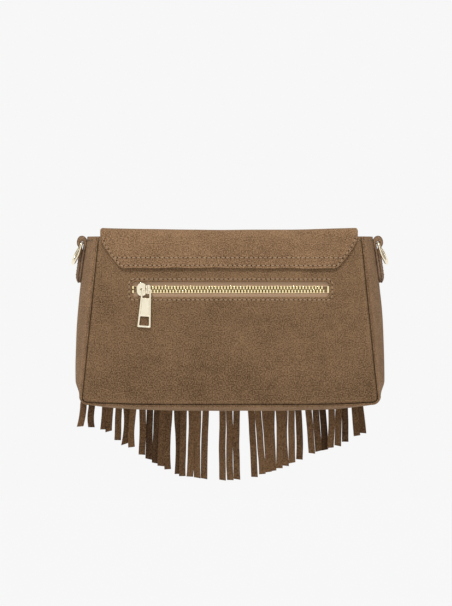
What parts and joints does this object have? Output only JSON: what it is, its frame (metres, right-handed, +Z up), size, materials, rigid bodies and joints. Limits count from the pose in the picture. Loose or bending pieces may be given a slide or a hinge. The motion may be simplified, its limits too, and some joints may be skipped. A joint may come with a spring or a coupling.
{
  "type": "fringed suede bag",
  "caption": "Small suede shoulder bag with a fold-over fringed flap, a zip pocket in its back, a bulging gusset and a strap ring at each end of its mouth.",
  "frame": {"origin": "midway between the pivots of the two strap rings, from which the bag hangs", "axes": "+X along the mouth, +Y from the back with the zip toward the fringed front, +Z up"},
  "size_m": [0.2616, 0.0654, 0.2093],
  "materials": {
    "suede": "napped suede, mid brown",
    "fringe_suede": "napped suede, cut strips",
    "lining_cloth": "plain woven lining",
    "tape_cloth": "woven zip tape, tan",
    "pale_gold": "polished pale gold plating"
  },
  "bodies": {
    "bag": {"back_panel": "suede", "front_panel": "suede", "gusset": "suede", "lining": "lining_cloth", "pocket_lining": "lining_cloth", "flap_yoke": "suede", "snap_socket": "pale_gold", "zip_tape_upper": "tape_cloth", "zip_tape_lower": "tape_cloth", "zip_teeth_upper": "pale_gold", "zip_teeth_lower": "pale_gold", "zip_top_stop_upper": "pale_gold", "zip_top_stop_lower": "pale_gold", "zip_bottom_stop": "pale_gold", "ring_tab_left": "suede", "ring_tab_right": "suede"},
    "flap_body": {"flap": "suede", "flap_lining": "lining_cloth", "snap_stud": "pale_gold"},
    "fringe_body": {"fringe": "fringe_suede"},
    "slider_body": {"slider": "pale_gold"},
    "puller_body": {"puller": "pale_gold"},
    "ring_left_body": {"d_ring_left": "pale_gold"},
    "ring_right_body": {"d_ring_right": "pale_gold"}
  },
  "joints": [
    {"name": "flap_open", "type": "hinge", "parent": "bag", "child": "flap_body", "pos_m": [0, -0.0267, 0.00565], "axis": [1, 0, 0], "range_deg": [0, 110]},
    {"name": "fringe_hang", "type": "hinge", "parent": "flap_body", "child": "fringe_body", "pos_m": [0, 0.0315, -0.08545], "axis": [1, 0, 0], "range_deg": [-110, 0]},
    {"name": "zip_slide", "type": "slide", "parent": "bag", "child": "slider_body", "axis": [1, 0, 0], "range_m": [0, 0.146]},
    {"name": "puller_swing", "type": "hinge", "parent": "slider_body", "child": "puller_body", "pos_m": [-0.0694, -0.02819, -0.03851], "axis": [-1, 0, 0], "range_deg": [0, 165]},
    {"name": "ring_left_swing", "type": "hinge", "parent": "bag", "child": "ring_left_body", "pos_m": [-0.12328, 0, 0], "axis": [0, 1, 0], "range_deg": [0, 150]},
    {"name": "ring_right_swing", "type": "hinge", "parent": "bag", "child": "ring_right_body", "pos_m": [0.12328, 0, 0], "axis": [0, -1, 0], "range_deg": [0, 150]}
  ],
  "couplings": [
    {"joint": "fringe_hang", "follows": "flap_open", "ratio": -1}
  ]
}
